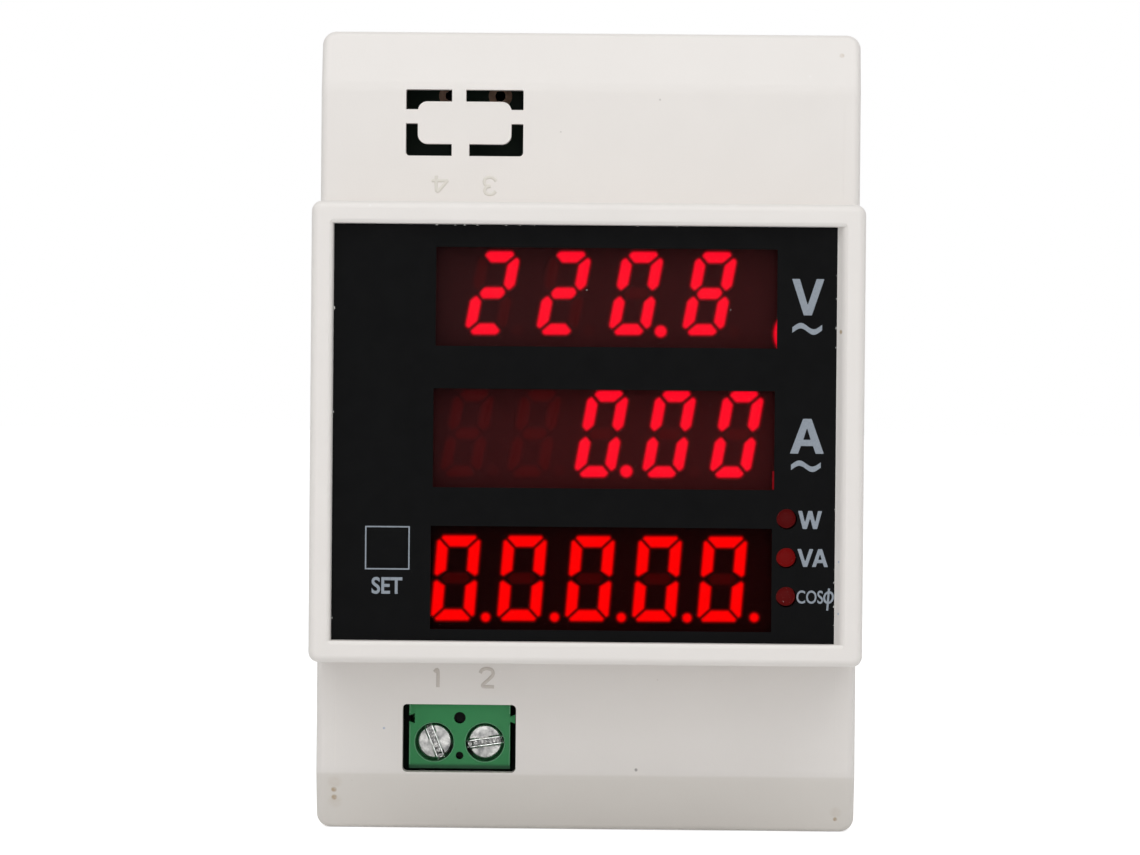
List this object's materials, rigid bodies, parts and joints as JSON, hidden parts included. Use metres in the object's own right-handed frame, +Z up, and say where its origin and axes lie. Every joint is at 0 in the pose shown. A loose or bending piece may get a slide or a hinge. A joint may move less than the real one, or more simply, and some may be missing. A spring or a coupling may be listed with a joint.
{
  "type": "digital energy meter",
  "caption": "White rail-mounted AC meter with a raised black display panel, red digits, a membrane key and green screw terminals for the supply.",
  "frame": {"origin": "centre of the flat seat that rests on the front of the rail's lips", "axes": "+X to the right seen from the front, +Y back into the rail, +Z up as mounted"},
  "size_m": [0.054, 0.065, 0.08],
  "materials": {
    "white_case": "fine moulded texture",
    "latch_plastic": "moulded",
    "spring_steel": "drawn wire",
    "black_film": "satin printed film",
    "red_filter": "clear red tint",
    "board_green": "solder mask",
    "tinned_pins": "tinned",
    "gold_pins": "gold flash",
    "red_lamp": "tinted epoxy",
    "black_plastic": "moulded",
    "bare_copper": "bare copper",
    "chip_epoxy": "moulded epoxy",
    "capacitor_grey": "moulded",
    "capacitor_sleeve": "shrink sleeve",
    "varistor_blue": "dipped epoxy",
    "terminal_green": "moulded",
    "transformer_black": "moulded",
    "steel_screw": "zinc plated, worn slot",
    "clamp_nickel": "nickel plated",
    "display_face": "grey face",
    "lit_red": "glowing epoxy"
  },
  "bodies": {
    "case": {"front_cover": "white_case", "rear_housing": "white_case", "latch_spring": "spring_steel", "front_film": "black_film", "window_filter": "red_filter", "display_board": "board_green", "display_pins": "tinned_pins", "mode_lamps": "red_lamp", "lamp_leads": "tinned_pins", "key_switch": "black_plastic", "connector_header": "black_plastic", "connector_socket": "black_plastic", "connector_pins": "gold_pins", "main_board": "board_green", "spare_pads": "bare_copper", "meter_chip": "chip_epoxy", "controller_chip": "chip_epoxy", "film_capacitor": "capacitor_grey", "round_capacitor": "capacitor_sleeve", "varistor": "varistor_blue", "terminal_block": "terminal_green", "terminal_contacts": "tinned_pins", "wire_sleeve": "white_case", "current_transformer": "transformer_black", "voltage_display": "display_face", "voltage_digits": "lit_red", "current_display": "display_face", "current_digits": "lit_red", "power_display": "display_face", "power_digits": "lit_red"},
    "latch": {"rail_latch": "latch_plastic"},
    "screw_1": {"terminal_screw_1": "steel_screw"},
    "screw_2": {"terminal_screw_2": "steel_screw"},
    "clamp_1": {"wire_clamp_1": "clamp_nickel"},
    "clamp_2": {"wire_clamp_2": "clamp_nickel"},
    "key": {"key_plunger": "black_plastic"}
  },
  "joints": [
    {"name": "latch_slide", "type": "slide", "parent": "case", "child": "latch", "axis": [0, 0, -1], "range_m": [0, 0.003], "stiffness_N_per_m": 400, "springref_m": -0.003, "deforming": ["latch_spring"]},
    {"name": "key_press", "type": "slide", "parent": "case", "child": "key", "axis": [0, 1, 0], "range_m": [0, 0.00025], "stiffness_N_per_m": 4000, "springref_m": -0.0001},
    {"name": "screw_1_turn", "type": "hinge", "parent": "case", "child": "screw_1", "pos_m": [-0.0152, -0.04, -0.03134], "axis": [0, 1, 0], "range_deg": [0, 1441]},
    {"name": "clamp_1_rise", "type": "slide", "parent": "case", "child": "clamp_1", "axis": [0, -1, 0], "range_m": [0, 0.0018]},
    {"name": "screw_2_turn", "type": "hinge", "parent": "case", "child": "screw_2", "pos_m": [-0.01012, -0.04, -0.03134], "axis": [0, 1, 0], "range_deg": [0, 1441]},
    {"name": "clamp_2_rise", "type": "slide", "parent": "case", "child": "clamp_2", "axis": [0, -1, 0], "range_m": [0, 0.0018]}
  ],
  "couplings": [
    {"joint": "screw_1_turn", "follows": "clamp_1_rise", "rad_per_m": 13963},
    {"joint": "screw_2_turn", "follows": "clamp_2_rise", "rad_per_m": 13963}
  ]
}
